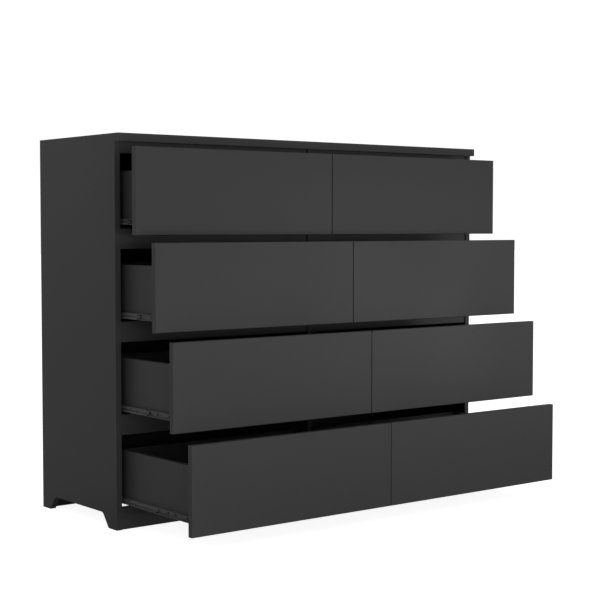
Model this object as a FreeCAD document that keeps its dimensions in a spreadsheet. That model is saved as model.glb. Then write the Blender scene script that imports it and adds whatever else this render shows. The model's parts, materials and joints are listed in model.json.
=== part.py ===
"""A free-standing double dresser: two columns of four handle-less drawers on full-extension slides.

Millimetres, X across, Y from front to back, Z up.  The origin is the bottom centre of the box around
the dresser with its drawers pulled out as far as the sheet's open_1 to open_4 say: that is the rest pose.
"""
import FreeCAD, Part
import math
import os
import re
import Sketcher

DIMENSIONS = {
    # carcass
    "cabinet_width": 1200,
    "cabinet_height": 967,
    "panel_depth": 380,
    "top_board": 20,
    "board": 15,
    "edge_chamfer": 0.8,
    "foot_length": 40,
    "foot_slope": 28,
    "arch_height": 35.4,
    "arch_corner": 14,
    "glide_height": 0.6,
    "glide_diameter": 13,
    "rail_height": 50,
    "top_rail_height": 28,
    "rail_setback": 3,
    "plinth_height": 55,
    "back_board": 3,
    "back_recess": 1.5,
    "rebate_width": 8,
    "back_lift": 20,
    "back_seam": 0.5,
    # drawer fronts: rows are numbered from the top
    "rows": 4,
    "front_height": 210,
    "row_pitch": 227,
    "lowest_front": 40,
    "front_gap": 2,
    "front_seam": 2,
    "open_1": 78,
    "open_2": 164,
    "open_3": 238,
    "open_4": 313,
    # drawer boxes
    "box_board": 12,
    "box_height": 130,
    "box_length": 350,
    "box_lift": 25,
    "slide_gap": 13,
    "bottom_board": 4,
    "bottom_lift": 10,
    "groove_depth": 6,
    # slides: three nested channels, the widest on the drawer
    "slide_length": 350,
    "slide_height": 14.4,
    "slide_sheet": 1.2,
    "drawer_lip": 9.5,
    "middle_length": 330,
    "middle_setback": 10,
    "middle_sheet": 1,
    "middle_height": 8.6,
    "middle_clearance": 0.8,
    "middle_lip": 9,
    "inner_height": 4.4,
    "inner_lip": 7.5,
    "cabinet_setback": 4,
    "screw_hole": 4.5,
    "access_hole": 5,
    "first_hole": 44,
    "second_hole": 94,
    "slot_hole": 125,
    "third_hole": 220,
    "fourth_hole": 270,
    "slot_travel": 4,
    "middle_first_hole": 50,
    "middle_second_hole": 100,
    # carcass fasteners
    "cam_diameter": 15,
    "cam_depth": 12,
    "cam_offset": 34,
    "bolt_diameter": 6,
    "bolt_in_panel": 10,
    "bore_clearance": 0.2,
    "top_bolt_inset": 80,
}

doc = FreeCAD.newDocument("dresser")
sheet = doc.addObject("Spreadsheet::Sheet", "dims")
for row, (alias, size) in enumerate(DIMENSIONS.items(), start=1):
    sheet.set(f"A{row}", alias)
    sheet.set(f"B{row}", str(size))
    sheet.setAlias(f"B{row}", alias)
doc.recompute()

# Places that several pieces share, as formulas on the sheet's words.
FRONT = "((front_gap + board + open_4 - panel_depth) / 2)"
BACK = f"({FRONT} + panel_depth - back_recess - back_board)"
BAY = "((cabinet_width - 3 * board) / 2)"
CEILING = "(cabinet_height - top_board)"
PANEL_HEIGHT = f"({CEILING} - glide_height)"
ROW_GAP = "(row_pitch - front_height)"
INNER_SIDE = "(cabinet_width / 2 - board)"
LEFT, RIGHT = -1, 1
COLUMNS = {"left": LEFT, "right": RIGHT}
ROWS = range(1, DIMENSIONS["rows"] + 1)
UPRIGHTS = {"left": f"(-{INNER_SIDE} - board / 2)", "centre": "0", "right": f"({INNER_SIDE} + board / 2)"}
# A sketch is drawn roughly, at these sizes, and its constraints then pull it to its true shape.
ROUGH_OUTLINE = 100
ROUGH_SPACING = 20
ROUGH_RADIUS = 5
SAME_PLACE = 0.01
sub_parts = []


def formula(text):
    """Turn a formula on the sheet's words into an expression of the document."""
    return re.sub(r"[a-z][a-z_0-9]*", lambda word: f"dims.{word.group()}"
                  if word.group() in DIMENSIONS else word.group(), str(text))


def bind(thing, **sizes):
    """Bind properties of an object to formulas."""
    for name, text in sizes.items():
        thing.setExpression(name, formula(text))


def place(thing, x, y, z):
    """Bind an object's position to formulas."""
    for axis, text in zip("xyz", (x, y, z)):
        thing.setExpression(f"Placement.Base.{axis}", formula(text))


def sub_part(thing, label):
    """Name an object as a sub-part, which is written to a file of its own."""
    thing.Label = label
    sub_parts.append(thing)
    return thing


# ---------------------------------------------------------------- sketches and features

def new_body(name):
    return doc.addObject("PartDesign::Body", name)


def sketch_on(body, plane, name):
    """An empty sketch on one of the body's own origin planes."""
    sketch = body.newObject("Sketcher::SketchObject", name)
    support = next(item for item in body.Origin.OriginFeatures if item.Role == plane)
    sketch.AttachmentSupport = [(support, "")]
    sketch.MapMode = "FlatFace"
    return sketch


def pin_point(sketch, geometry, point, x, y):
    """Hold a point of a sketch at two formulas, measured from the sketch's origin."""
    for kind, text in (("DistanceX", x), ("DistanceY", y)):
        index = sketch.addConstraint(Sketcher.Constraint(kind, -1, 1, geometry, point, 1.0))
        sketch.setExpression(f"Constraints[{index}]", formula(text))


def outline(body, plane, name, corners):
    """A closed outline of straight lines through corners given as pairs of formulas."""
    sketch = sketch_on(body, plane, name)
    count = len(corners)
    turn = 2 * math.pi / count
    ring = [FreeCAD.Vector(math.cos(turn * k), math.sin(turn * k), 0) * ROUGH_OUTLINE for k in range(count)]
    for k in range(count):
        sketch.addGeometry(Part.LineSegment(ring[k], ring[(k + 1) % count]), False)
    for k in range(count):
        sketch.addConstraint(Sketcher.Constraint("Coincident", k, 2, (k + 1) % count, 1))
        pin_point(sketch, k, 1, *corners[k])
    return sketch


def rectangle(body, plane, name, low, high):
    (x0, y0), (x1, y1) = low, high
    return outline(body, plane, name, [(x0, y0), (x1, y0), (x1, y1), (x0, y1)])


def circles(body, plane, name, diameter, centres):
    """Circles of one diameter at centres given as pairs of formulas."""
    sketch = sketch_on(body, plane, name)
    for number, centre in enumerate(centres):
        middle = FreeCAD.Vector(ROUGH_SPACING * number, 0, 0)
        sketch.addGeometry(Part.Circle(middle, FreeCAD.Vector(0, 0, 1), ROUGH_RADIUS), False)
        index = sketch.addConstraint(Sketcher.Constraint("Diameter", number, 2.0 * ROUGH_RADIUS))
        sketch.setExpression(f"Constraints[{index}]", formula(diameter))
        pin_point(sketch, number, 3, *centre)
    return sketch


def pad(body, sketch, length, reverse=False):
    feature = body.newObject("PartDesign::Pad", sketch.Name + "_pad")
    feature.Profile = sketch
    feature.Reversed = reverse
    bind(feature, Length=length)
    doc.recompute()
    return feature


def pocket(body, sketch, length, reverse=False):
    """Cut a sketch out of the body, and stop if it takes nothing away."""
    volume = body.Shape.Volume
    feature = body.newObject("PartDesign::Pocket", sketch.Name + "_cut")
    feature.Profile = sketch
    feature.Reversed = reverse
    bind(feature, Length=length)
    doc.recompute()
    if body.Shape.Volume >= volume:
        raise RuntimeError(f"{feature.Name} cuts nothing")
    return feature


def edges_where(shape, test):
    """Names of the straight edges whose two end points pass a test."""
    names = []
    for number, edge in enumerate(shape.Edges, start=1):
        ends = [vertex.Point for vertex in edge.Vertexes]
        if len(ends) == 2 and test(*ends):
            names.append(f"Edge{number}")
    return names


def dress(body, kind, test, size):
    """Fillet or chamfer the edges that pass a test."""
    base = body.Tip
    feature = body.newObject(f"PartDesign::{kind}", f"{body.Name}_{kind.lower()}")
    feature.Base = (base, edges_where(base.Shape, test))
    bind(feature, **{"Radius" if kind == "Fillet" else "Size": size})
    doc.recompute()
    return feature


def box(name, low, high):
    """A plain board between two corners given as formulas."""
    board = doc.addObject("Part::Box", name)
    lengths = [f"({top}) - ({bottom})" for bottom, top in zip(low, high)]
    bind(board, Length=lengths[0], Width=lengths[1], Height=lengths[2])
    place(board, *low)
    return board


def rod(name, diameter, low, high, axis):
    """A round pin or bore along one axis: the two ends differ only on that axis."""
    pin = doc.addObject("Part::Cylinder", name)
    along = "xyz".index(axis)
    bind(pin, Radius=f"({diameter}) / 2", Height=f"({high[along]}) - ({low[along]})")
    toward = {"x": FreeCAD.Vector(1, 0, 0), "y": FreeCAD.Vector(0, 1, 0), "z": FreeCAD.Vector(0, 0, 1)}
    pin.Placement.Rotation = FreeCAD.Rotation(FreeCAD.Vector(0, 0, 1), toward[axis])
    place(pin, *low)
    return pin


def group(label, pieces):
    """Separate solids that share one node."""
    compound = doc.addObject("Part::Compound", label)
    compound.Links = pieces
    return sub_part(compound, label)


def mirrored(piece, middle="0"):
    """The same piece on the other side of an upright plane across X."""
    mirror = doc.addObject("Part::Mirroring", piece.Name + "_mirror")
    mirror.Source = piece
    mirror.Normal = FreeCAD.Vector(1, 0, 0)
    mirror.setExpression("Base.x", formula(middle))
    return mirror


def drilled(board, bores, name):
    """A board with bores taken out of it."""
    tools = doc.addObject("Part::MultiFuse", name + "_bores")
    tools.Shapes = bores
    cut = doc.addObject("Part::Cut", name)
    cut.Base = board
    cut.Tool = tools
    return cut


# ---------------------------------------------------------------- where the carcass is bolted together

def row_height(row):
    """Underside of a row's drawer fronts."""
    return f"(lowest_front + (rows - {row}) * row_pitch)"


def rail_span(row):
    """Low and high edge of the rail above a row of drawers."""
    if row == 1:
        return f"({CEILING} - top_rail_height)", CEILING
    middle = f"({row_height(row)} + front_height + {ROW_GAP} / 2)"
    return f"({middle} - rail_height / 2)", f"({middle} + rail_height / 2)"


# the rails and front plinths lie a little behind the front edges of the uprights
FRONT_BOARDS = (f"({FRONT} + rail_setback)", f"({FRONT} + rail_setback + board)")
REAR_BOARDS = (f"({BACK} - board)", BACK)
PLINTH_SPAN = ("glide_height", "plinth_height")
# every board that runs across a bay: its Y span, its Z span and the way its cam locks face
CROSS_BOARDS = {f"rail_{row}": (FRONT_BOARDS, rail_span(row), "rear") for row in ROWS}
CROSS_BOARDS["front_plinth"] = (FRONT_BOARDS, PLINTH_SPAN, "rear")
CROSS_BOARDS["rear_plinth"] = (REAR_BOARDS, PLINTH_SPAN, "front")
TOP_BOLTS = {"front": f"({FRONT} + top_bolt_inset)", "rear": f"({BACK} - top_bolt_inset)"}
CAM_BORE = "cam_diameter + 2 * bore_clearance"
BOLT_BORE = "bolt_diameter + 2 * bore_clearance"
cams = []
bolts = []


def middle_of(span):
    return f"(({span[0]} + {span[1]}) / 2)"


def cross_board(name, side):
    """One board across the left or right bay, with its bores, and the cam lock near each end."""
    depth, height, facing = CROSS_BOARDS[name]
    low_end, high_end = (f"-{INNER_SIDE}", "-board / 2") if side == LEFT else ("board / 2", INNER_SIDE)
    label = f"{name}_{'left' if side == LEFT else 'right'}"
    plain = box(label + "_board", (low_end, depth[0], height[0]), (high_end, depth[1], height[1]))
    y, z = middle_of(depth), middle_of(height)
    cam_span = (f"({depth[1]} - cam_depth)", depth[1])
    if facing == "front":
        cam_span = (depth[0], f"({depth[0]} + cam_depth)")
    low_cam, high_cam = f"({low_end} + cam_offset)", f"({high_end} - cam_offset)"
    locks = [("low", low_cam, (low_end, low_cam)), ("high", high_cam, (high_cam, high_end))]
    bores = []
    for end, x, bolt_span in locks:
        low, high = (x, cam_span[0], z), (x, cam_span[1], z)
        bores.append(rod(f"{label}_cam_bore_{end}", CAM_BORE, low, high, "y"))
        cams.append(rod(f"{label}_cam_{end}", "cam_diameter", low, high, "y"))
        low, high = (bolt_span[0], y, z), (bolt_span[1], y, z)
        bores.append(rod(f"{label}_bolt_bore_{end}", BOLT_BORE, low, high, "x"))
    return drilled(plain, bores, label)


def cross_bolts():
    """Bolts from the side panels into the cross boards, and straight through the divider."""
    reach = "(cam_offset - cam_diameter / 2)"
    spans = {"outer_left": (f"(-{INNER_SIDE} - bolt_in_panel)", f"(-{INNER_SIDE} + {reach})"),
             "through": (f"(-board / 2 - {reach})", f"(board / 2 + {reach})"),
             "outer_right": (f"({INNER_SIDE} - {reach})", f"({INNER_SIDE} + bolt_in_panel)")}
    for name, (depth, height, _) in CROSS_BOARDS.items():
        y, z = middle_of(depth), middle_of(height)
        for where, (low, high) in spans.items():
            bolts.append(rod(f"{name}_bolt_{where}", "bolt_diameter", (low, y, z), (high, y, z), "x"))


# ---------------------------------------------------------------- carcass

def top_panel():
    body = new_body("top_panel_body")
    half = "cabinet_width / 2"
    overhang = "(front_gap + board)"
    face = rectangle(body, "XY_Plane", "top_face", (f"-{half}", f"-{overhang}"), (half, "panel_depth"))
    pad(body, face, "top_board")
    upper = DIMENSIONS["top_board"] - SAME_PLACE
    dress(body, "Chamfer", lambda a, b: min(a.z, b.z) > upper, "edge_chamfer")
    place(body, "0", FRONT, CEILING)
    bores = []
    for where, y in TOP_BOLTS.items():
        for name, x in UPRIGHTS.items():
            low = (x, y, f"({CEILING} - cam_offset + cam_diameter / 2)")
            high = (x, y, f"({CEILING} + bolt_in_panel)")
            bolts.append(rod(f"top_bolt_{name}_{where}", "bolt_diameter", low, high, "z"))
            bores.append(rod(f"top_bore_{name}_{where}", BOLT_BORE, (x, y, CEILING), high, "z"))
    return sub_part(drilled(body, bores, "top_panel"), "top_panel")


def upright(name, label):
    """A side panel or the divider: two feet, an arch between them, bores for bolts and cam locks."""
    body = new_body(label + "_body")
    clear = "(panel_depth - back_recess - back_board)"
    depth = clear if name == "centre" else "panel_depth"
    corners = [("0", "0"), ("foot_length", "0"), ("foot_length + foot_slope", "arch_height"),
               (f"{depth} - foot_length - foot_slope", "arch_height"), (f"{depth} - foot_length", "0"),
               (depth, "0"), (depth, PANEL_HEIGHT), ("0", PANEL_HEIGHT)]
    pad(body, outline(body, "YZ_Plane", label + "_outline", corners), "board")
    arch = DIMENSIONS["arch_height"]

    def is_arch_corner(start, end):
        level = max(abs(start.z - arch), abs(end.z - arch))
        return max(level, abs(start.y - end.y)) < SAME_PLACE

    dress(body, "Fillet", is_arch_corner, "arch_corner")
    if name != "centre":
        inner = "board - rebate_width" if name == "left" else "0"
        rebate = rectangle(body, "XY_Plane", label + "_rebate", (inner, clear),
                           (f"{inner} + rebate_width", "panel_depth"))
        pocket(body, rebate, PANEL_HEIGHT, True)
    middle = UPRIGHTS[name]
    place(body, f"{middle} - board / 2", FRONT, "glide_height")
    return sub_part(drilled(body, upright_bores(name, middle), label), label)


def upright_bores(name, middle):
    """Bores across an upright for the cross boards' bolts, and at its top for the top panel's cams."""
    bores = []
    spans = {"left": (f"({middle} + board / 2 - bolt_in_panel)", f"({middle} + board / 2)"),
             "centre": ("-board / 2", "board / 2"),
             "right": (f"({middle} - board / 2)", f"({middle} - board / 2 + bolt_in_panel)")}
    for board, (depth, height, _) in CROSS_BOARDS.items():
        y, z = middle_of(depth), middle_of(height)
        low, high = spans[name]
        bores.append(rod(f"{name}_{board}_bore", BOLT_BORE, (low, y, z), (high, y, z), "x"))
    cam_low, cam_high = f"({middle} + board / 2 - cam_depth)", f"({middle} + board / 2)"
    if name == "right":
        cam_low, cam_high = f"({middle} - board / 2)", f"({middle} - board / 2 + cam_depth)"
    for where, y in TOP_BOLTS.items():
        z = f"({CEILING} - cam_offset)"
        bores.append(rod(f"{name}_{where}_cam_bore", CAM_BORE, (cam_low, y, z), (cam_high, y, z), "x"))
        cams.append(rod(f"{name}_{where}_cam", "cam_diameter", (cam_low, y, z), (cam_high, y, z), "x"))
        bores.append(rod(f"{name}_{where}_bolt_bore", BOLT_BORE, (middle, y, z), (middle, y, CEILING), "z"))
    return bores


def carcass():
    top_panel()
    upright("left", "left_side_panel")
    upright("right", "right_side_panel")
    upright("centre", "centre_divider")
    for column, side in COLUMNS.items():
        group(f"front_rails_{column}", [cross_board(f"rail_{row}", side) for row in ROWS])
    plinths = [(name, side) for name in ("front_plinth", "rear_plinth") for side in (LEFT, RIGHT)]
    group("plinth_boards", [cross_board(name, side) for name, side in plinths])
    cross_bolts()
    back_panels()
    floor_glides()
    group("cam_locks", cams)
    group("connecting_bolts", bolts)


def back_panels():
    """Two thin boards in the rebates of the side panels, which meet on the divider."""
    low = (f"(-{INNER_SIDE} - rebate_width)", BACK, "back_lift")
    high = ("-back_seam / 2", f"({BACK} + back_board)", CEILING)
    left = box("back_sheet", low, high)
    group("back_panels", [left, mirrored(left)])


def floor_glides():
    glides = []
    places = {"front": f"({FRONT} + foot_length / 2)", "rear": f"({BACK} - foot_length / 2)"}
    for name, x in UPRIGHTS.items():
        for where, y in places.items():
            low, high = (x, y, "0"), (x, y, "glide_height")
            glides.append(rod(f"glide_{name}_{where}", "glide_diameter", low, high, "z"))
    group("floor_glides", glides)


# ---------------------------------------------------------------- drawers and slides

def column_middle(side):
    return f"({side} * (board / 2 + {BAY} / 2))"


def front_back_face(row):
    """Y of the back of a row's fronts, where its drawer boxes begin."""
    return f"({FRONT} - front_gap - open_{row})"


def drawer_front(column, row):
    side = COLUMNS[column]
    body = new_body(f"front_{column}_{row}")
    width = "((cabinet_width - front_seam) / 2)"
    middle = f"({side} * (cabinet_width + front_seam) / 4)"
    face = rectangle(body, "XZ_Plane", f"front_{column}_{row}_face",
                     (f"-{width} / 2", "0"), (f"{width} / 2", "front_height"))
    pad(body, face, "board")
    front_face = SAME_PLACE - DIMENSIONS["board"]
    dress(body, "Chamfer", lambda a, b: max(a.y, b.y) < front_face, "edge_chamfer")
    inner = f"({BAY} / 2 - slide_gap - box_board + groove_depth)"
    shift = f"({column_middle(side)} - {middle})"
    low = (f"{shift} - {inner}", "box_lift + bottom_lift")
    high = (f"{shift} + {inner}", "box_lift + bottom_lift + bottom_board")
    groove = rectangle(body, "XZ_Plane", f"front_{column}_{row}_groove", low, high)
    pocket(body, groove, "groove_depth", True)
    place(body, middle, front_back_face(row), row_height(row))
    return sub_part(body, f"drawer_front_{column}_{row}")


def drawer_box(column, row):
    side = COLUMNS[column]
    middle, start = column_middle(side), front_back_face(row)
    base = f"({row_height(row)} + box_lift)"
    outer = f"({middle} - {BAY} / 2 + slide_gap)"
    inner = f"({outer} + box_board)"
    body = new_body(f"side_{column}_{row}")
    face = rectangle(body, "YZ_Plane", f"side_{column}_{row}_face",
                     ("0", "0"), ("box_length", "box_height"))
    pad(body, face, "box_board")
    low = ("box_board - groove_depth", "bottom_lift")
    groove = rectangle(body, "XZ_Plane", f"side_{column}_{row}_groove", low,
                       ("box_board", "bottom_lift + bottom_board"))
    pocket(body, groove, "box_length")
    place(body, outer, start, base)
    group(f"drawer_sides_{column}_{row}", [body, mirrored(body, middle)])
    far = f"(2 * {middle} - {inner})"
    floor_top = f"({base} + bottom_lift + bottom_board)"
    back = box(f"back_{column}_{row}", (inner, f"({start} + box_length - box_board)", floor_top),
               (far, f"({start} + box_length)", f"({base} + box_height)"))
    sub_part(back, f"drawer_back_{column}_{row}")
    low = (f"({inner} - groove_depth)", f"({start} - groove_depth)", f"({base} + bottom_lift)")
    high = (f"({far} + groove_depth)", f"({start} + box_length)", floor_top)
    sub_part(box(f"floor_{column}_{row}", low, high), f"drawer_bottom_{column}_{row}")


def channel(name, web, lip, half_height, sheet_thickness, length):
    """A formed channel along Y: its web is at x = web, and its lips run to x = lip."""
    inward = f"({web} + {sheet_thickness} * ({lip} - {web}) / abs({lip} - {web}))"
    inside = f"({half_height} - {sheet_thickness})"
    corners = [(web, f"-{half_height}"), (lip, f"-{half_height}"), (lip, f"-{inside}"),
               (inward, f"-{inside}"), (inward, inside), (lip, inside), (lip, half_height),
               (web, half_height)]
    body = new_body(name)
    pad(body, outline(body, "XZ_Plane", name + "_section", corners), length, True)
    return body


def slide(column, row):
    """The three members of both slides of one drawer; x = 0 is the outside of the drawer's side board."""
    side = COLUMNS[column]
    middle, start = column_middle(side), front_back_face(row)
    outer = f"({middle} - {BAY} / 2 + slide_gap)"
    height = f"({row_height(row)} + box_lift + slide_height / 2)"
    tag = f"{column}_{row}"

    moving = channel(f"drawer_member_{tag}", "0", "-drawer_lip", "slide_height / 2",
                     "slide_sheet", "slide_length")
    holes = [(hole, "0") for hole in ("first_hole", "second_hole", "third_hole", "fourth_hole")]
    pocket(moving, circles(moving, "YZ_Plane", f"drawer_holes_{tag}", "screw_hole", holes), "slide_sheet")
    slot = rectangle(moving, "YZ_Plane", f"drawer_slot_{tag}",
                     ("slot_hole - slot_travel", "-screw_hole / 2"),
                     ("slot_hole + slot_travel", "screw_hole / 2"))
    pocket(moving, slot, "slide_sheet")
    place(moving, outer, start, height)

    web = "-slide_sheet - middle_clearance"
    nested = channel(f"middle_member_{tag}", f"({web})", f"({web} - middle_lip)", "middle_height / 2",
                     "middle_sheet", "middle_length")
    holes = [("middle_first_hole", "0"), ("middle_second_hole", "0")]
    through = "slide_sheet + middle_clearance + middle_sheet"
    pocket(nested, circles(nested, "YZ_Plane", f"middle_holes_{tag}", "access_hole", holes), through)
    place(nested, outer, f"({FRONT} + middle_setback - open_{row} / 2)", height)

    fixed = channel(f"cabinet_member_{tag}", "-slide_gap", "(-slide_gap + inner_lip)", "inner_height / 2",
                    "middle_sheet", "slide_length")
    place(fixed, outer, f"({FRONT} + cabinet_setback)", height)

    group(f"drawer_slide_members_{tag}", [moving, mirrored(moving, middle)])
    group(f"middle_slide_members_{tag}", [nested, mirrored(nested, middle)])
    return [fixed, mirrored(fixed, middle)]


def write_parts():
    """Check every object and every sub-part, then write one file for each sub-part."""
    doc.recompute()
    failed = [thing.Name for thing in doc.Objects if {"Invalid", "Error"} & set(thing.State)]
    failed += [thing.Label for thing in sub_parts if thing.Shape.isNull() or not thing.Shape.isValid()]
    if failed:
        raise RuntimeError(f"not built: {failed}")
    os.makedirs("parts", exist_ok=True)
    for thing in sub_parts:
        thing.Shape.exportStep(f"parts/{thing.Label}.step")
        print(f"{thing.Label}: {len(thing.Shape.Solids)} solid(s), {thing.Shape.Volume / 1000:.1f} cm3")


carcass()
cabinet_members = []
for column in COLUMNS:
    for row in ROWS:
        drawer_front(column, row)
        drawer_box(column, row)
        cabinet_members += slide(column, row)
group("cabinet_slide_members", cabinet_members)
write_parts()
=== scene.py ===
"""The dresser with drawers: studio, camera, materials and fine detail around the CAD frame.

Metres throughout, in the CAD's own frame: +X across, +Y to the back, +Z up.
"""

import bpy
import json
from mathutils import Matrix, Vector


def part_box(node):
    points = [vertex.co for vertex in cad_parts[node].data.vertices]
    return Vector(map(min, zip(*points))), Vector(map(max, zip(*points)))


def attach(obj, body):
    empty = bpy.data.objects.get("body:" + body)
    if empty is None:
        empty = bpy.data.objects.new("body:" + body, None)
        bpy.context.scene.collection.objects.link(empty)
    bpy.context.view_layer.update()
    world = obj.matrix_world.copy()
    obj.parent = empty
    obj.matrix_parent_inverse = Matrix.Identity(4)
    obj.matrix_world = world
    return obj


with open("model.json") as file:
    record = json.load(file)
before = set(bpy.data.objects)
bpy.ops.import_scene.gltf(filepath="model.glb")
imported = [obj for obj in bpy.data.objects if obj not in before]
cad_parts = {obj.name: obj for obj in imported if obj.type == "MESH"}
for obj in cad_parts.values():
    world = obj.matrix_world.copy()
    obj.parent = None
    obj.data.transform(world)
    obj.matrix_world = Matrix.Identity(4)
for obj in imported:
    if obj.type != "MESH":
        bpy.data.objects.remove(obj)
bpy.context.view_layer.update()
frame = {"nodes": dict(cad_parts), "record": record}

import json
import math

import bmesh
import bpy
from mathutils import Matrix, Vector

MM = 0.001
COLUMNS = ("left", "right")
ROWS = (1, 2, 3, 4)
DRAWERS = [f"{column}_{row}" for column in COLUMNS for row in ROWS]
nodes = frame["nodes"]
scene = bpy.context.scene


# ---------------------------------------------------------------- studio

CAMERA_PLACE = Vector((-2.3323, -2.9608, 0.7420))
CAMERA_YAW = math.radians(38.068)
CAMERA_PITCH = math.radians(-3.008)
CAMERA_LENS = 83.99
SENSOR = 36.0
BACKDROP_LIGHT = 1.05
ROOM_LIGHT = 0.445
FLOOR_TONE = 0.9
FLOOR_GLOW = 0.9
FLOOR_BOUNCE = 0.65
FLOOR_REACH = 30.0
# name: place, the point it is turned to, width and height, power in watts
SOFTBOXES = {
    "key": ((2.70, -2.96, 0.38), (0.25, -0.25, 0.5), (1.0, 0.9), 7.3),
    "front": ((0.6, -4.5, 0.5), (0.0, -0.2, 0.3), (4.0, 1.0), 14.5),
    "low_left": ((-1.0, -2.2, 0.08), (-0.45, -0.35, 0.15), (0.9, 0.1), 8.5),
}


def make_camera():
    data = bpy.data.cameras.new("camera")
    data.sensor_width = SENSOR
    data.lens = CAMERA_LENS
    data.clip_start = 0.1
    data.clip_end = 60
    camera = bpy.data.objects.new("camera", data)
    camera.location = CAMERA_PLACE
    camera.rotation_euler = (math.pi / 2 + CAMERA_PITCH, 0, -CAMERA_YAW)
    scene.collection.objects.link(camera)
    scene.camera = camera


def softbox(name, place, aim, size, power):
    """A rectangular area light at a place, turned towards a point."""
    data = bpy.data.lights.new(name, "AREA")
    data.shape = "RECTANGLE"
    data.size, data.size_y = size
    data.energy = power
    light = bpy.data.objects.new(name, data)
    light.location = place
    light.rotation_euler = (Vector(aim) - Vector(place)).to_track_quat("-Z", "Y").to_euler()
    light.visible_camera = False
    scene.collection.objects.link(light)


def camera_switch(tree, seen, bounced):
    """Mixes two shaders: one for what the eye sees, one for light that bounces onto the object."""
    ray = tree.nodes.new("ShaderNodeLightPath")
    mix = tree.nodes.new("ShaderNodeMixShader")
    tree.links.new(ray.outputs["Is Camera Ray"], mix.inputs["Fac"])
    tree.links.new(bounced, mix.inputs[1])
    tree.links.new(seen, mix.inputs[2])
    return mix.outputs[0]


def background(tree, strength):
    node = tree.nodes.new("ShaderNodeBackground")
    node.inputs["Color"].default_value = (1, 1, 1, 1)
    node.inputs["Strength"].default_value = strength
    return node.outputs[0]


def make_sky():
    world = bpy.data.worlds.new("studio")
    scene.world = world
    world.use_nodes = True
    tree = world.node_tree
    tree.nodes.clear()
    output = tree.nodes.new("ShaderNodeOutputWorld")
    sky = camera_switch(tree, background(tree, BACKDROP_LIGHT), background(tree, ROOM_LIGHT))
    tree.links.new(sky, output.inputs["Surface"])


def floor_paint():
    """White paint that glows a little where it is seen, and is a mid grey to bounced light."""
    paint = bpy.data.materials.new("floor_paint")
    paint.use_nodes = True
    tree = paint.node_tree
    tree.nodes.clear()
    shaders = {}
    for name, tone in (("seen", FLOOR_TONE), ("bounced", FLOOR_BOUNCE)):
        shaders[name] = tree.nodes.new("ShaderNodeBsdfDiffuse")
        shaders[name].inputs["Color"].default_value = (tone, tone, tone, 1)
    glow = tree.nodes.new("ShaderNodeEmission")
    glow.inputs["Strength"].default_value = FLOOR_GLOW
    lit = tree.nodes.new("ShaderNodeAddShader")
    tree.links.new(shaders["seen"].outputs[0], lit.inputs[0])
    tree.links.new(glow.outputs[0], lit.inputs[1])
    output = tree.nodes.new("ShaderNodeOutputMaterial")
    surface = camera_switch(tree, lit.outputs[0], shaders["bounced"].outputs[0])
    tree.links.new(surface, output.inputs["Surface"])
    return paint


def make_studio():
    """A white room without corners: a pale floor, a white sky and soft lights."""
    scene.view_settings.view_transform = "Standard"
    make_sky()
    mesh = bpy.data.meshes.new("floor")
    far = FLOOR_REACH
    corners = [(-far, -far, 0), (far, -far, 0), (far, far, 0), (-far, far, 0)]
    mesh.from_pydata(corners, [], [(0, 1, 2, 3)])
    mesh.materials.append(floor_paint())
    floor = bpy.data.objects.new("floor", mesh)
    scene.collection.objects.link(floor)
    for name, settings in SOFTBOXES.items():
        softbox(name, *settings)


# ---------------------------------------------------------------- materials

class Paint:
    """A material under construction, with short ways to add nodes to it."""

    def __init__(self, name, roughness, specular=0.5, metallic=0.0):
        self.material = bpy.data.materials.new(name)
        self.material.use_nodes = True
        self.tree = self.material.node_tree
        self.shader = self.tree.nodes["Principled BSDF"]
        self.shader.inputs["Roughness"].default_value = roughness
        self.shader.inputs["Specular IOR Level"].default_value = specular
        self.shader.inputs["Metallic"].default_value = metallic
        self.coordinates = self.tree.nodes.new("ShaderNodeTexCoord").outputs["Object"]

    def scaled(self, factors):
        """The object's own coordinates, stretched by a factor along each axis."""
        mapping = self.tree.nodes.new("ShaderNodeMapping")
        mapping.inputs["Scale"].default_value = factors
        self.tree.links.new(self.coordinates, mapping.inputs["Vector"])
        return mapping.outputs["Vector"]

    def noise(self, scale, detail=3.0, stretch=(1, 1, 1), roughness=0.5):
        node = self.tree.nodes.new("ShaderNodeTexNoise")
        node.inputs["Scale"].default_value = scale
        node.inputs["Detail"].default_value = detail
        node.inputs["Roughness"].default_value = roughness
        self.tree.links.new(self.scaled(stretch), node.inputs["Vector"])
        return node.outputs["Fac"]

    def ramp(self, value, low, high, ends=(0.0, 1.0)):
        """Stretches a texture's values between two stops to run from one end value to the other."""
        node = self.tree.nodes.new("ShaderNodeMapRange")
        node.inputs["From Min"].default_value = low
        node.inputs["From Max"].default_value = high
        node.inputs["To Min"].default_value, node.inputs["To Max"].default_value = ends
        self.tree.links.new(value, node.inputs["Value"])
        return node.outputs["Result"]

    def tint(self, factor, first, second):
        """Mixes two colours by a factor."""
        node = self.tree.nodes.new("ShaderNodeMix")
        node.data_type = "RGBA"
        node.inputs["A"].default_value = (*first, 1)
        node.inputs["B"].default_value = (*second, 1)
        self.tree.links.new(factor, node.inputs["Factor"])
        return node.outputs["Result"]

    def colour(self, source):
        self.tree.links.new(source, self.shader.inputs["Base Color"])

    def gloss(self, source):
        self.tree.links.new(source, self.shader.inputs["Roughness"])

    def bump(self, *layers):
        """Bump from layers of (height source, height in metres)."""
        normal = None
        for source, height in layers:
            node = self.tree.nodes.new("ShaderNodeBump")
            node.inputs["Strength"].default_value = 1.0
            node.inputs["Distance"].default_value = height
            self.tree.links.new(source, node.inputs["Height"])
            if normal is not None:
                self.tree.links.new(normal, node.inputs["Normal"])
            normal = node.outputs["Normal"]
        self.tree.links.new(normal, self.shader.inputs["Normal"])


def grey(value):
    return (value, value, value)


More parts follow.
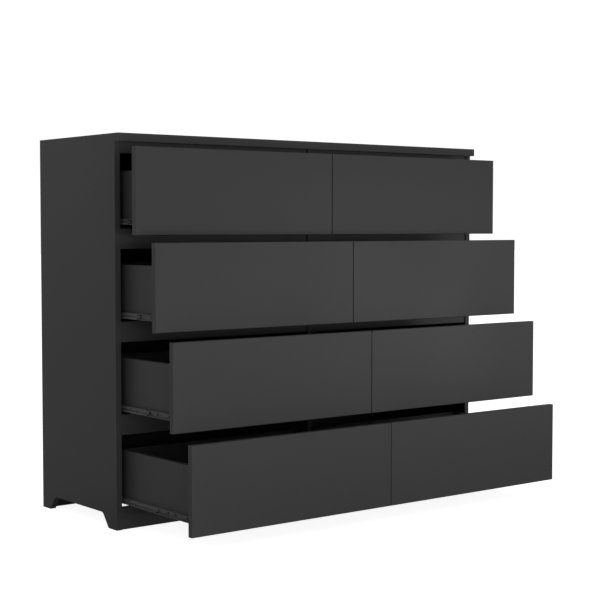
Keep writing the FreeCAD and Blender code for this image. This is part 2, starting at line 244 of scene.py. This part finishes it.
def laminate(name, tone, roughness):
    """Smooth melamine foil: an even tone, a faint mottle and a fine pearl texture."""
    paint = Paint(name, roughness, specular=0.3)
    mottle = paint.noise(7.0, 4.0)
    paint.colour(paint.tint(mottle, grey(tone * 0.93), grey(tone * 1.07)))
    paint.gloss(paint.ramp(paint.noise(3.5, 5.0), 0.3, 0.7, (roughness - 0.03, roughness + 0.04)))
    pearl = paint.noise(2200.0, 2.0)
    waves = paint.noise(14.0, 2.0)
    paint.bump((pearl, 0.000012), (waves, 0.00005))
    return paint.material


def hardboard(name, tone):
    """Thin fibreboard with a printed foil: a little rougher, with a faint fibre fleck."""
    paint = Paint(name, 0.62, specular=0.4)
    fleck = paint.noise(420.0, 3.0, roughness=0.7)
    paint.colour(paint.tint(paint.ramp(fleck, 0.35, 0.75), grey(tone * 0.85), grey(tone * 1.3)))
    paint.gloss(paint.ramp(paint.noise(30.0, 3.0), 0.3, 0.7, (0.56, 0.68)))
    paint.bump((fleck, 0.00006))
    return paint.material


def coated_steel(name, tone):
    """Black electro-coated sheet steel with drawing lines along its length."""
    paint = Paint(name, 0.38, specular=0.55)
    lines = paint.noise(900.0, 2.0, (1, 0.02, 1))
    cloud = paint.noise(60.0, 3.0)
    paint.colour(paint.tint(paint.ramp(cloud, 0.3, 0.7), grey(tone * 0.85), grey(tone * 1.15)))
    paint.gloss(paint.ramp(lines, 0.3, 0.7, (0.30, 0.46)))
    paint.bump((lines, 0.00002))
    return paint.material


def zinc(name):
    paint = Paint(name, 0.34, metallic=1.0)
    cloud = paint.noise(180.0, 3.0)
    paint.colour(paint.tint(paint.ramp(cloud, 0.3, 0.7), (0.50, 0.50, 0.52), (0.66, 0.66, 0.67)))
    paint.gloss(paint.ramp(paint.noise(700.0, 2.0), 0.3, 0.7, (0.26, 0.44)))
    paint.bump((cloud, 0.00002))
    return paint.material


def moulded_plastic(name, tone):
    paint = Paint(name, 0.5, specular=0.5)
    grain = paint.noise(1500.0, 2.0)
    paint.colour(paint.tint(paint.noise(25.0, 2.0), grey(tone * 0.8), grey(tone * 1.2)))
    paint.gloss(paint.ramp(grain, 0.3, 0.7, (0.44, 0.58)))
    paint.bump((grain, 0.00003))
    return paint.material


def make_materials():
    return {"carcass_laminate": laminate("carcass_laminate", 0.045, 0.36),
            "box_laminate": laminate("box_laminate", 0.050, 0.42),
            "hardboard": hardboard("hardboard", 0.040),
            "slide_steel": coated_steel("slide_steel", 0.088),
            # a lighter copy of the slide steel: painted light that lifts the shaded webs of the
            # middle slide members
            "slide_steel_painted_light": coated_steel("slide_steel_painted_light", 0.140),
            # near-black screws: partly a black screw finish, partly painted shade of the dark holes
            # in the slide
            "black_screw_painted_shade": coated_steel("black_screw_painted_shade", 0.012),
            "fastener_zinc": zinc("fastener_zinc"),
            "glide_plastic": moulded_plastic("glide_plastic", 0.02)}


def soften(thing, width):
    """Rounds the sharp edges of a CAD node with modifiers, which leave its mesh as it is."""
    weld = thing.modifiers.new("weld", "WELD")
    weld.merge_threshold = 0.002 * MM
    flat = thing.modifiers.new("flat", "DECIMATE")
    flat.decimate_type = "DISSOLVE"
    flat.angle_limit = math.radians(0.5)
    bevel = thing.modifiers.new("bevel", "BEVEL")
    bevel.width = width
    bevel.segments = 2
    bevel.limit_method = "ANGLE"
    bevel.angle_limit = math.radians(40)
    bevel.harden_normals = True


EDGE_ROUNDING = {"carcass_laminate": 0.35 * MM, "box_laminate": 0.35 * MM, "slide_steel": 0.3 * MM,
                 "fastener_zinc": 0.4 * MM, "glide_plastic": 0.5 * MM}


def dress_cad_nodes():
    """Gives every CAD node the material of its slot, and a fine rounding of its edges. The middle
    slide members take a lighter copy of the slide steel instead: painted light against their shade.
    """
    slot_of = {part["node"]: part["material_slot"] for part in frame["record"]["subparts"]}
    for name, thing in nodes.items():
        finish = slot_of[name]
        # painted light: the middle slide members take a lighter copy of the slide steel to cancel
        # the shade between the flanges
        paint = "slide_steel_painted_light" if name.startswith("middle_slide_members") else finish
        thing.data.materials.clear()
        thing.data.materials.append(materials[paint])
        if finish in EDGE_ROUNDING:
            soften(thing, EDGE_ROUNDING[finish])


# ---------------------------------------------------------------- mesh building

# points closer than this become one
SAME_PLACE = 0.001 * MM
# edges turned by more than this stay sharp on a smooth piece
SHARP_ANGLE = math.radians(35)
SECTORS = 24
# the cross recess of a screw: reach as parts of the head's radius, depth as a part of its height
RECESS_INNER, RECESS_OUTER = 0.12, 0.6
RECESS_DEPTH = 0.7


def islands(node):
    """Lowest and highest corner of each separate solid of a CAD node, from left to right."""
    work = bmesh.new()
    work.from_mesh(nodes[node].data)
    bmesh.ops.remove_doubles(work, verts=work.verts, dist=SAME_PLACE)
    work.verts.ensure_lookup_table()
    waiting = set(work.verts)
    boxes = []
    while waiting:
        grown = [waiting.pop()]
        for vert in grown:
            for edge in vert.link_edges:
                other = edge.other_vert(vert)
                if other in waiting:
                    waiting.discard(other)
                    grown.append(other)
        low = Vector(min(vert.co[k] for vert in grown) for k in range(3))
        high = Vector(max(vert.co[k] for vert in grown) for k in range(3))
        boxes.append((low, high))
    work.free()
    return sorted(boxes, key=lambda box: tuple(box[0]))


def facing(place, direction):
    """A matrix that puts a shape made around +Z at a place, turned towards a direction."""
    turn = Vector(direction).to_track_quat("Z", "Y").to_matrix().to_4x4()
    return Matrix.Translation(place) @ turn


def make_piece(name, work, body, finish, smooth=True, paint=None):
    """Turns a bmesh into a piece that rides on a body and takes its finish from a slot.

    A paint is named only where a piece differs a little from the rest of its slot.
    """
    bmesh.ops.remove_doubles(work, verts=work.verts, dist=SAME_PLACE)
    bmesh.ops.recalc_face_normals(work, faces=work.faces)
    mesh = bpy.data.meshes.new(name)
    work.to_mesh(mesh)
    work.free()
    mesh.materials.append(materials[paint or finish])
    thing = bpy.data.objects.new(name, mesh)
    scene.collection.objects.link(thing)
    if smooth:
        mesh.shade_smooth()
        mesh.set_sharp_from_angle(angle=SHARP_ANGLE)
    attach(thing, body)


def ring(work, matrix, radius, height, count=SECTORS):
    """A circle of new points around the local Z."""
    points = []
    for k in range(count):
        turn = 2 * math.pi * k / count
        place = Vector((radius * math.cos(turn), radius * math.sin(turn), height))
        points.append(work.verts.new(matrix @ place))
    return points


def turned_skin(work, matrix, profile, count=SECTORS):
    """A turned wall from (radius, height) pairs, closed at its foot. Returns the last ring."""
    rings = [ring(work, matrix, radius, height, count) for radius, height in profile]
    for lower, upper in zip(rings, rings[1:]):
        for k in range(count):
            n = (k + 1) % count
            work.faces.new((lower[k], lower[n], upper[n], upper[k]))
    work.faces.new(list(reversed(rings[0])))
    return rings[-1]


def turned(work, matrix, profile, count=SECTORS):
    """A closed turned shape from (radius, height) pairs. A radius of 0 ends it in a point."""
    work.faces.new(turned_skin(work, matrix, profile, count))


def cross_head(work, matrix, radius, height):
    """A rounded screw head with a cross recess: of its 24 sectors, four pairs are sunk."""
    floor = (1 - RECESS_DEPTH) * height
    inner, outer = RECESS_INNER * radius, RECESS_OUTER * radius
    skirt = [(radius, 0.0), (radius, 0.3 * height), (0.88 * radius, 0.75 * height), (outer, height)]
    turned_skin(work, matrix, skirt)
    top = {r: ring(work, matrix, r, height) for r in (inner, outer)}
    low = {r: ring(work, matrix, r, floor) for r in (inner, outer)}
    quarter = SECTORS // 4
    sunk = [k % quarter in (0, quarter - 1) for k in range(SECTORS)]
    for k in range(SECTORS):
        n = (k + 1) % SECTORS
        level = low if sunk[k] else top
        work.faces.new((level[inner][k], level[outer][k], level[outer][n], level[inner][n]))
        wall = outer if sunk[k] else inner
        work.faces.new((low[wall][k], low[wall][n], top[wall][n], top[wall][k]))
        if sunk[k] != sunk[k - 1]:
            work.faces.new((low[inner][k], low[outer][k], top[outer][k], top[inner][k]))
    work.faces.new(low[inner])
    loose = [vert for vert in work.verts if not vert.link_faces]
    bmesh.ops.delete(work, geom=loose, context="VERTS")


# ---------------------------------------------------------------- fittings

# slides: the drawer member's sheet, and its screws at these distances from the back of the front
SHEET = 1.2 * MM
SCREWED_HOLES = (44 * MM, 94 * MM, 125 * MM, 220 * MM)
SCREW_RADIUS = 3.4 * MM
SCREW_HEIGHT = 0.6 * MM
# balls and the strips that hold them
BALL = 1.5 * MM
BALL_SECTORS = 12
BALL_ARC = [math.pi * k / 8 for k in range(9)]
BALL_SHAPE = [(BALL / 2 * math.sin(turn), -BALL / 2 * math.cos(turn)) for turn in BALL_ARC]
BALL_PITCH = 8 * MM
BALLS = 14
CAGE_SETBACK = 8 * MM
CAGE_FROM_WEB = 4.3 * MM
CAGE_SHEET = 0.4 * MM
CAGE_NARROW = 1.5 * MM
CAGE_WIDE = 2.3 * MM
CAGE_STEPS = 6
# inside a drawer: caps over its cam locks
CAP_SETBACK = 24 * MM
CAP_ABOVE_FLOOR = 26 * MM
CAP_BELOW_EDGE = 28 * MM
# outside a drawer box: screws into its back
CORNER_SCREW_RADIUS = 3.4 * MM
CORNER_SCREW_HEIGHT = 0.7 * MM
CORNER_SCREW_LOW = 22 * MM
CORNER_SCREW_HIGH = 18 * MM
# behind a front: bumpers near its upper and lower edge
BUMPER_MARGIN = 20 * MM
BUMPER_ON_DIVIDER = 0.6
# the back: nails along the outer and lower edges of the panels, and the strip on their seam
NAIL_PITCH = 110 * MM
NAIL_MARGIN = 4 * MM
FIRST_NAIL = 30 * MM
LOW_NAILS = 5
FIRST_LOW_NAIL = 60 * MM
LOW_NAIL_HEIGHT = 18 * MM
STRIP_HALF_WIDTH = 9 * MM
STRIP_THICKNESS = 0.9 * MM
STRIP_LIP = 0.35 * MM
CAM_FACE_RADIUS = 6.6 * MM
CAM_FACE_HEIGHT = 0.5 * MM
# turned shapes as (radius, height) pairs in millimetres
DOME = ((7.5, 0.0), (7.5, 0.5), (7.0, 0.95), (5.6, 1.2), (1.6, 1.2), (1.3, 0.8))
BUMPER = ((3.0, 0.0), (3.0, 0.7), (2.6, 1.25), (1.6, 1.5))
NAIL = ((2.6, 0.0), (2.6, 0.35), (2.2, 0.6), (0.9, 0.7))


def in_metres(profile):
    return [(radius * MM, height * MM) for radius, height in profile]


def slide_screws(drawer):
    """Low screw heads in the webs of the two drawer-side slide members, near black: partly a black
    screw finish, partly painted shade of dark screw holes.
    """
    work = bmesh.new()
    for side, (low, high) in zip((-1, 1), islands(f"drawer_slide_members_{drawer}")):
        web = high.x - SHEET if side < 0 else low.x + SHEET
        middle = (low.z + high.z) / 2
        for hole in SCREWED_HOLES:
            seat = facing((web, low.y + hole, middle), (side, 0, 0))
            cross_head(work, seat, SCREW_RADIUS, SCREW_HEIGHT)
    # the screws are near black: partly their black finish, partly painted shade of dark screw holes
    make_piece(f"slide_screws_{drawer}", work, f"drawer_{drawer}", "slide_steel",
               paint="black_screw_painted_shade")


def ball_cages(drawer):
    """Two rows of balls in their cages, above and below the middle member of each slide."""
    balls = bmesh.new()
    cages = bmesh.new()
    middle_members = islands(f"middle_slide_members_{drawer}")
    drawer_members = islands(f"drawer_slide_members_{drawer}")
    for side, (low, high), (shell_low, shell_high) in zip((-1, 1), middle_members, drawer_members):
        x = high.x - CAGE_FROM_WEB if side < 0 else low.x + CAGE_FROM_WEB
        for z in ((high.z + shell_high.z - SHEET) / 2, (low.z + shell_low.z + SHEET) / 2):
            start = Vector((x, low.y + CAGE_SETBACK, z))
            for k in range(BALLS):
                centre = start + Vector((0, k * BALL_PITCH, 0))
                turned(balls, Matrix.Translation(centre), BALL_SHAPE, BALL_SECTORS)
            scalloped_strip(cages, start)
    make_piece(f"slide_balls_{drawer}", balls, f"slide_{drawer}", "fastener_zinc")
    make_piece(f"ball_cages_{drawer}", cages, f"slide_{drawer}", "fastener_zinc", smooth=False)


def scalloped_strip(work, start):
    """A thin flat strip along a row of balls, wider where it holds each ball."""
    half_sheet = CAGE_SHEET / 2
    edge = []
    for k in range(-CAGE_STEPS // 2, CAGE_STEPS * (BALLS - 1) + CAGE_STEPS // 2 + 1):
        along = k * BALL_PITCH / CAGE_STEPS
        swell = 0.5 + 0.5 * math.cos(2 * math.pi * along / BALL_PITCH)
        edge.append((CAGE_NARROW + (CAGE_WIDE - CAGE_NARROW) * swell, along))
    outline = edge + [(-half, along) for half, along in reversed(edge)]

    def add_face(*corners):
        work.faces.new([work.verts.new(start + Vector(corner)) for corner in corners])

    for (half, along), (next_half, next_along) in zip(edge, edge[1:]):
        for z in (-half_sheet, half_sheet):
            add_face((-half, along, z), (half, along, z),
                     (next_half, next_along, z), (-next_half, next_along, z))
    for (x, y), (next_x, next_y) in zip(outline, outline[1:] + outline[:1]):
        add_face((x, y, -half_sheet), (next_x, next_y, -half_sheet), (next_x, next_y, half_sheet),
                 (x, y, half_sheet))


def cover_caps(drawer):
    """Domed caps over the cam locks that hold the front, inside the drawer's side boards."""
    work = bmesh.new()
    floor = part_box(f"drawer_bottom_{drawer}")[1][2]
    for side, (low, high) in zip((-1, 1), islands(f"drawer_sides_{drawer}")):
        inner = high.x if side < 0 else low.x
        for z in (floor + CAP_ABOVE_FLOOR, high.z - CAP_BELOW_EDGE):
            turned(work, facing((inner, low.y + CAP_SETBACK, z), (-side, 0, 0)), in_metres(DOME))
    make_piece(f"cam_cover_caps_{drawer}", work, f"drawer_{drawer}", "glide_plastic")


def corner_screws(drawer):
    """Screws through the side boards into the ends of the drawer's back."""
    work = bmesh.new()
    low_back, high_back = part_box(f"drawer_back_{drawer}")
    y = (low_back[1] + high_back[1]) / 2
    for side, (low, high) in zip((-1, 1), islands(f"drawer_sides_{drawer}")):
        outer = low.x if side < 0 else high.x
        for z in (low_back[2] + CORNER_SCREW_LOW, high_back[2] - CORNER_SCREW_HIGH):
            seat = facing((outer, y, z), (side, 0, 0))
            cross_head(work, seat, CORNER_SCREW_RADIUS, CORNER_SCREW_HEIGHT)
    make_piece(f"corner_screws_{drawer}", work, f"drawer_{drawer}", "fastener_zinc")


def bumpers(drawer):
    """Soft dots on the back of a front, where it meets the upright edges of the carcass."""
    work = bmesh.new()
    low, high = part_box(f"drawer_front_{drawer}")
    panel_low, panel_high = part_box("left_side_panel")
    outer = (panel_low[0] + panel_high[0]) / 2
    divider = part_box("centre_divider")[1][0] * BUMPER_ON_DIVIDER
    side = -1 if drawer.startswith("left") else 1
    for x in (-side * outer, side * divider):
        for z in (low[2] + BUMPER_MARGIN, high[2] - BUMPER_MARGIN):
            turned(work, facing((x, high[1], z), (0, 1, 0)), in_metres(BUMPER), 20)
    make_piece(f"bumpers_{drawer}", work, f"drawer_{drawer}", "glide_plastic")


def back_nails():
    """Nails along the outer and lower edges of the back panels."""
    work = bmesh.new()
    low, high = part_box("back_panels")
    spaces = int((high[2] - low[2] - 2 * FIRST_NAIL) / NAIL_PITCH)
    seats = []
    for side in (-1, 1):
        x = side * (high[0] - NAIL_MARGIN)
        seats += [(x, low[2] + FIRST_NAIL + k * NAIL_PITCH) for k in range(spaces + 1)]
        z = low[2] + LOW_NAIL_HEIGHT
        seats += [(side * (FIRST_LOW_NAIL + k * NAIL_PITCH), z) for k in range(LOW_NAILS)]
    for x, z in seats:
        turned(work, facing((x, high[1], z), (0, 1, 0)), in_metres(NAIL), 16)
    make_piece("back_panel_nails", work, "carcass", "fastener_zinc")


def seam_strip():
    """The bevelled strip that covers the seam between the back panels."""
    work = bmesh.new()
    low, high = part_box("back_panels")
    half, bevelled = STRIP_HALF_WIDTH, STRIP_HALF_WIDTH - 2 * STRIP_LIP
    half_section = [(half, 0), (half, STRIP_LIP), (bevelled, STRIP_THICKNESS)]
    section = [(-x, y) for x, y in half_section] + half_section[::-1]
    foot = [work.verts.new((x, high[1] + y, low[2])) for x, y in section]
    head = [work.verts.new((x, high[1] + y, high[2])) for x, y in section]
    for k in range(len(section)):
        n = (k + 1) % len(section)
        work.faces.new((foot[k], foot[n], head[n], head[k]))
    work.faces.new(foot)
    work.faces.new(head[::-1])
    make_piece("back_seam_strip", work, "carcass", "glide_plastic", smooth=False)


def cam_faces():
    """The cross-slotted faces of the carcass's cam locks, which look out of their bores."""
    work = bmesh.new()
    right_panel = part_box("right_side_panel")[0][0]
    low_cabinet, high_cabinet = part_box("left_side_panel")
    middle_y = (low_cabinet[1] + high_cabinet[1]) / 2
    for low, high in islands("cam_locks"):
        size = high - low
        centre = (low + high) / 2
        direction = Vector((0, 0, 0))
        if size.x < size.y:
            direction.x = 1 if centre.x < right_panel else -1
        else:
            direction.y = 1 if centre.y < middle_y else -1
        face = centre + direction * min(size) / 2
        cross_head(work, facing(face, direction), CAM_FACE_RADIUS, CAM_FACE_HEIGHT)
    make_piece("cam_lock_faces", work, "carcass", "fastener_zinc")


def make_fittings():
    for drawer in DRAWERS:
        slide_screws(drawer)
        ball_cages(drawer)
        cover_caps(drawer)
        corner_screws(drawer)
        bumpers(drawer)
    back_nails()
    seam_strip()
    cam_faces()


# ---------------------------------------------------------------- main

make_camera()
make_studio()
materials = make_materials()
dress_cad_nodes()
make_fittings()
